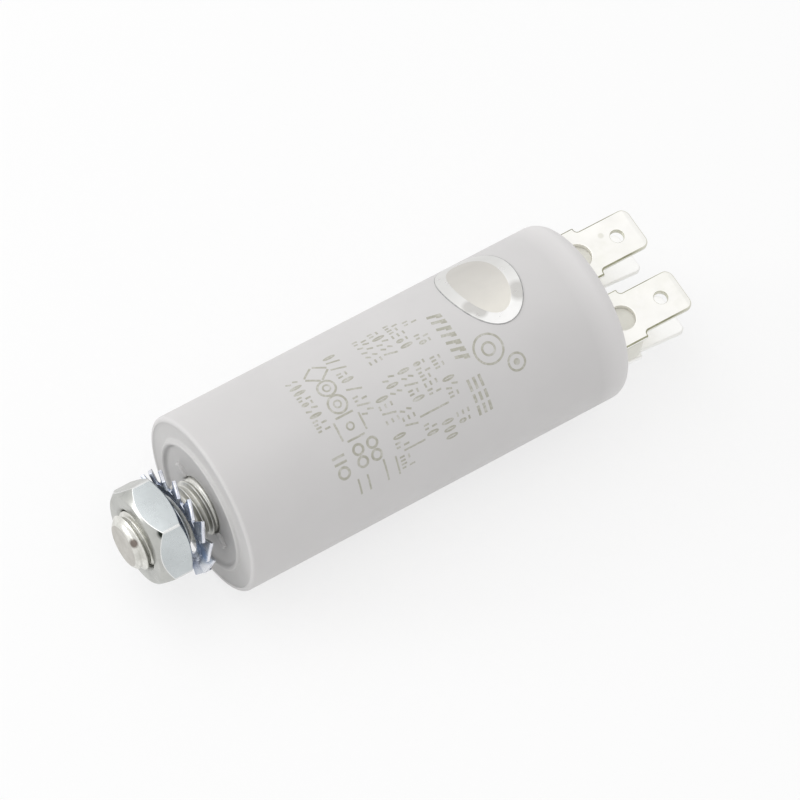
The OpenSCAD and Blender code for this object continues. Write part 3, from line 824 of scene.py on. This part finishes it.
# The tin turns lighter on the rear blade, as painted light against the front blade's shade; the mark is the
# painted shade of a small dent.
blade_tin = plated_metal(
    "blade_bright_tin",
    [(0.3, (0.83, 0.825, 0.77)), (0.5, (0.89, 0.88, 0.845)), (0.7, (0.91, 0.90, 0.875))],
    (0.30, 0.42), 170, 0.20, marks=[((65.95, 6.35, 3.0), 0.5, (0.76, 0.75, 0.69))],
    fade=(2, -1.0, -2.4, (0.97, 0.965, 0.945)))
# A thin line of painted shade with a brass tint on the front blade's rounded edges; it turns paler towards
# the tip as painted light.
blade_edge_shade = plated_metal(
    "blade_edge_painted_shade", two_tone((0.24, 0.24, 0.15), (0.42, 0.42, 0.30)),
    (0.34, 0.5), 420, 0.25, fade=(0, 67.5, 70.5, (0.66, 0.655, 0.57)))
# The cut sides turn lighter on the rear blade: painted light against the front blade's shade.
blade_cut = plated_metal(
    "blade_cut_side", two_tone((0.72, 0.715, 0.61), (0.86, 0.855, 0.77)),
    (0.34, 0.5), 500, 0.25, metallic=0.25, fade=(2, -1.0, -2.4, (0.97, 0.965, 0.93)))
worn_ink = ink_finish()
label_rim = label_rim_finish()
label_film = label_film_finish()
label_edge_shade = label_edge_finish()


# Pieces


def add_piece(name, shells, finishes, node, sharp=SHARP, kinds=None):
    """One object from closed shells: doubles merged, faces turned outward, smooth but for sharp edges.
    Kinds give the finish of each shell or of each of its faces."""
    points = np.concatenate([p for p, f in shells]) * MM
    starts = np.cumsum([0] + [len(p) for p, f in shells[:-1]])
    faces = np.concatenate([f + start for (p, f), start in zip(shells, starts)])
    mesh = bpy.data.meshes.new(name)
    mesh.from_pydata(points.tolist(), [], faces.tolist())
    if kinds is not None:
        index = np.concatenate([np.broadcast_to(kind, len(f)) for kind, (p, f) in zip(kinds, shells)])
        mesh.polygons.foreach_set("material_index", index.astype(np.int32))
    seal(mesh, sharp)
    piece = bpy.data.objects.new(name, mesh)
    return settle(piece, finishes, node)


def seal(mesh, sharp):
    """Merges doubles, drops faces that have no area, turns faces outward and shades them smooth, except
    across edges sharper than an angle in degrees."""
    bm = bmesh.new()
    bm.from_mesh(mesh)
    bmesh.ops.remove_doubles(bm, verts=bm.verts, dist=3e-7)
    bmesh.ops.dissolve_degenerate(bm, edges=bm.edges, dist=1e-8)
    bmesh.ops.recalc_face_normals(bm, faces=bm.faces)
    bm.to_mesh(mesh)
    bm.free()
    mesh.polygons.foreach_set("use_smooth", np.ones(len(mesh.polygons), bool))
    mesh.set_sharp_from_angle(angle=math.radians(sharp))


def settle(piece, finishes, node):
    """Puts a piece in the scene on the one body, with its finishes, and hides the solid it stands for."""
    scene.collection.objects.link(piece)
    for finish in finishes:
        piece.data.materials.append(finish)
    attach(piece, "root")
    if node:
        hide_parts(node)
    return piece


def face_centres(mesh):
    """Middle of each face, in millimetres."""
    centres = np.zeros(len(mesh.polygons) * 3)
    mesh.polygons.foreach_get("center", centres)
    return centres.reshape(-1, 3) / MM


def in_rim(points):
    """Which points, in millimetres, lie on the wall of a blade's window, and which on its detent hole's."""
    across = np.abs(points[:, 1]) - TERMINAL_Y
    in_window = np.hypot(points[:, 0] - WINDOW_X, across) < WINDOW_REACH
    in_detent = np.hypot(points[:, 0] - DETENT_X, across) < DETENT_REACH
    return in_window, in_detent


def on_label(points):
    """Which points of the label, in millimetres, lie outside its film, and which on its cut edge."""
    along = points[:, 0] - LABEL_X
    around = (np.arctan2(points[:, 2], points[:, 1]) - LABEL_AT) * CASE_R
    margins = LABEL_FILM_MARGIN, LABEL_CUT_MARGIN
    return [np.hypot(along / (LABEL_HALF_X - m), around / (LABEL_HALF_S - m)) > 1 for m in margins]


def broken(bm, edges, offset):
    """Rounds off edges, and gives the faces of the rounds the second finish."""
    made = bmesh.ops.bevel(
        bm, geom=edges, offset=offset * MM, segments=2, profile=0.5, affect="EDGES", clamp_overlap=False)
    for face in made["faces"]:
        face.material_index = 1


def blades(name, node):
    """The folded terminal: the solid's own faces, merged, with every sharp edge broken, less in the holes.
    Faces across the sheet and the window's wall are tinned, the rounds of the front blade take a thin line
    of painted shade with a brass tint, and cut sides lie between the two."""
    mesh = nodes[node].data.copy()
    mesh.name = name
    mesh.materials.clear()
    stored = mesh.attributes.get("custom_normal")
    if stored:
        mesh.attributes.remove(stored)
    bm = bmesh.new()
    bm.from_mesh(mesh)
    bmesh.ops.remove_doubles(bm, verts=bm.verts, dist=1e-6)
    bmesh.ops.dissolve_limit(bm, angle_limit=math.radians(0.5), verts=bm.verts, edges=bm.edges)
    for face in bm.faces:
        face.material_index = 0
    bent = [e for e in bm.edges if len(e.link_faces) == 2 and e.calc_face_angle(0.0) > math.radians(40)]
    middles = np.array([(e.verts[0].co + e.verts[1].co) / (2 * MM) for e in bent])
    rims = np.any(in_rim(middles), 0)
    broken(bm, [e for e, rim in zip(bent, rims) if not rim], BLADE_ROUND)
    broken(bm, [e for e, rim in zip(bent, rims) if rim], HOLE_ROUND)
    bm.normal_update()
    bm.to_mesh(mesh)
    bm.free()
    normals = np.zeros(len(mesh.polygons) * 3)
    mesh.polygons.foreach_get("normal", normals)
    across_sheet = np.abs(normals.reshape(-1, 3)[:, 2]) > 0.6
    rounded = np.zeros(len(mesh.polygons), np.int32)
    mesh.polygons.foreach_get("material_index", rounded)
    centres = face_centres(mesh)
    outside = centres[:, 0] > END_X - 1
    in_window = in_rim(centres)[0]
    # The front blade's rounds take the painted shade line, the rear blade's the cut sides' finish.
    line = np.where(centres[:, 2] > 0, 1, 2)
    kind = np.where((rounded == 1) & ~in_window, line, np.where(across_sheet | in_window, 0, 2))
    mesh.polygons.foreach_set("material_index", (kind * outside).astype(np.int32))
    mesh.set_sharp_from_angle(angle=math.radians(SHARP))
    mesh.polygons.foreach_set("use_smooth", (rounded == 1) | ~across_sheet)
    piece = bpy.data.objects.new(name, mesh)
    return settle(piece, [blade_tin, blade_edge_shade, blade_cut], node)


add_piece(
    "case_cup", [case_shell(), pedestal(1), pedestal(-1)], [case_plastic, pedestal_painted_light_plastic],
    "case", kinds=[0, 1, 1])
add_piece(
    "base_disc", [plate_shell(), plate_rib(0), plate_rib(math.pi)], [plate_plastic],
    "base_plate")
stud, stud_kinds = stud_shell()
add_piece(
    "threaded_stud", stud, [stud_zinc, stud_end, stud_shade, stud_thread],
    "stud", 50.0, stud_kinds)
nut, nut_kinds = nut_shell()
add_piece("hexagon_nut", [nut], [nut_zinc, nut_edge_highlight, nut_face_and_shade], "hex_nut", kinds=[nut_kinds])
ring, ring_kinds = washer_ring()
teeth, teeth_kinds = washer_teeth()
add_piece(
    "toothed_washer", [ring, teeth], [washer_zinc, washer_shade_and_light, washer_tip_highlight],
    "lock_washer", kinds=[ring_kinds, teeth_kinds])
blades("double_blade_a", "terminal_a")
blades("double_blade_b", "terminal_b")

label = add_piece(
    "oval_label", [label_shell()], [label_film, label_rim, label_edge_shade], "seal_label")
on_rim, on_edge = on_label(face_centres(label.data))
label.data.polygons.foreach_set("material_index", on_rim.astype(np.int32) + on_edge)

add_piece("faded_print", print_field(), [worn_ink], None)

sealed_in = {
    "film_winding": inner_finish(
        "wound_film", (0.46, 0.48, 0.52), (0.36, 0.38, 0.42), 900, 0.3, 0.6, (0.1, 1, 1)),
    "winding_core": inner_finish("core_tube_plastic", (0.74, 0.70, 0.57), (0.66, 0.62, 0.50), 300, 0.45),
    "sprayed_end_lower": inner_finish(
        "sprayed_zinc", (0.33, 0.34, 0.33), (0.20, 0.21, 0.20), 1600, 0.6, 0.8, relief=0.8),
    "lead_short": inner_finish(
        "lead_strip_copper", (0.62, 0.36, 0.18), (0.52, 0.29, 0.14), 500, 0.35, 1.0, (0.2, 1, 1)),
    "potting_resin": inner_finish("cast_resin", (0.11, 0.10, 0.085), (0.075, 0.068, 0.058), 200, 0.3),
}
sealed_in["sprayed_end_upper"] = sealed_in["sprayed_end_lower"]
sealed_in["lead_long"] = sealed_in["lead_short"]
for node_name, look in sealed_in.items():
    solid = nodes[node_name]
    solid.data.materials.clear()
    solid.data.materials.append(look)


# Floor, light and camera


def floor_disc(radius, height, rows=24, cols=96):
    """A flat round floor: rings that widen towards its edge."""
    r = radius * np.linspace(0, 1, rows) ** 2
    a = np.arange(cols) * TURN / cols
    x, y = r[:, None] * np.cos(a) + FLOOR_MIDDLE, r[:, None] * np.sin(a)
    points, faces = surface(np.stack([x, y, np.full((rows, cols), height)], -1))
    mesh = bpy.data.meshes.new("studio_floor")
    mesh.from_pydata((points * MM).tolist(), [], faces.tolist())
    bm = bmesh.new()
    bm.from_mesh(mesh)
    bmesh.ops.remove_doubles(bm, verts=bm.verts, dist=1e-7)
    bmesh.ops.recalc_face_normals(bm, faces=bm.faces)
    if bm.faces[0].normal.z < 0:
        bmesh.ops.reverse_faces(bm, faces=bm.faces)
    bm.to_mesh(mesh)
    bm.free()
    return bpy.data.objects.new("studio_floor", mesh)


def floor_finish():
    """White studio paper: a matt sheet that takes the shadow, mixed with plain white where the camera, a
    reflection or a clear piece looks at it, so that it is white where nothing shades it."""
    material, tree, shader = start_finish(
        "studio_paper", Metallic=0.0, Roughness=0.9, Specular_IOR_Level=0.0)
    paper = tinted(tree, cloud(tree, 40, 3.0), [(0.3, (0.955, 0.955, 0.955)), (0.7, (0.96, 0.96, 0.96))])
    tree.links.new(paper, shader.inputs["Base Color"])
    glow = new_node(tree, "Emission", Color=WHITE, Strength=1.0)
    level = spread(tree, looked_at(tree), 0.0, FLOOR_LIFT, 0.0, 1.0)
    blended(tree, level, shader, glow, "Material Output")
    return material


def looked_at(tree):
    """One for a ray from the camera, off a glossy surface or through a clear one, and zero for a ray that
    lights."""
    path = new_node(tree, "LightPath")
    looks = path.outputs["Is Camera Ray"]
    for kind in ("Is Glossy Ray", "Is Transmission Ray"):
        either = new_node(tree, "Math")
        either.operation = "MAXIMUM"
        tree.links.new(looks, either.inputs[0])
        tree.links.new(path.outputs[kind], either.inputs[1])
        looks = either.outputs[0]
    return looks


def blended(tree, factor, first, second, end):
    """Two shaders blended by a factor, as what a tree's end node shows."""
    blend = new_node(tree, "MixShader")
    for output, socket in zip((factor, first.outputs[0], second.outputs[0]), blend.inputs):
        tree.links.new(output, socket)
    tree.links.new(blend.outputs[0], tree.nodes[end].inputs["Surface"])


floor = floor_disc(4000, -CASE_R)
floor.data.materials.append(floor_finish())
scene.collection.objects.link(floor)


def studio_sky():
    """A plain white room: white where the camera, a reflection or a clear piece looks, softer as light."""
    world = bpy.data.worlds.new("studio_sky")
    scene.world = world
    world.use_nodes = True
    tree = world.node_tree
    light = set_up(tree.nodes["Background"], Color=WHITE, Strength=SKY)
    seen = new_node(tree, "Background", Color=WHITE, Strength=1.0)
    blended(tree, looked_at(tree), light, seen, "World Output")


def stance(right, up, back, place):
    """The matrix of a lamp or camera from its three directions and its place in metres."""
    rows = np.vstack([np.column_stack([right, up, back, place]), [0, 0, 0, 1]])
    return Matrix([list(row) for row in rows])


def soft_lamp(name, direction, distance, size, power):
    """A square soft box that faces the object's middle from a direction."""
    away = np.asarray(direction, float)
    away = away / np.linalg.norm(away)
    lamp = bpy.data.lights.new(name, "AREA")
    lamp.shape = "SQUARE"
    lamp.size = size
    lamp.energy = power
    side = np.cross([0, 0, 1.0], away)
    side = side / np.linalg.norm(side)
    over = np.cross(away, side)
    holder = bpy.data.objects.new(name, lamp)
    holder.matrix_world = stance(side, over, away, np.array([0.03, 0, 0]) + away * distance)
    scene.collection.objects.link(holder)


def photo_camera():
    """The camera fitted to the photo: its lens, the spot it looks at and its distance in metres, and its
    bearing, height and roll in degrees."""
    camera = bpy.data.cameras.new("photo_camera")
    camera.sensor_width = 36.0
    camera.lens = 280.755
    camera.clip_start = 0.05
    camera.clip_end = 50.0
    spot, distance = np.array([0.0308572, 0.0001364, 0.0]), 0.808747
    az, el, roll = (math.radians(v) for v in (-44.3483, 62.2291, 13.1945))
    back = np.array([math.sin(az) * math.cos(el), -math.cos(az) * math.cos(el), math.sin(el)])
    right = np.array([math.cos(az), math.sin(az), 0.0])
    up = np.cross(back, right)
    right, up = math.cos(roll) * right + math.sin(roll) * up, math.cos(roll) * up - math.sin(roll) * right
    holder = bpy.data.objects.new("photo_camera", camera)
    holder.matrix_world = stance(right, up, back, spot + back * distance)
    scene.collection.objects.link(holder)
    scene.camera = holder


studio_sky()
soft_lamp("key_soft_box", (-0.30, 0.48, 0.82), 0.8, 0.6, 1.35)
soft_lamp("overhead_soft_box", (-0.20, -0.10, 0.97), 0.8, 0.6, 0.85)
soft_lamp("side_soft_box", (-0.80, 0.50, 0.33), 0.8, 0.25, 1.2)
photo_camera()
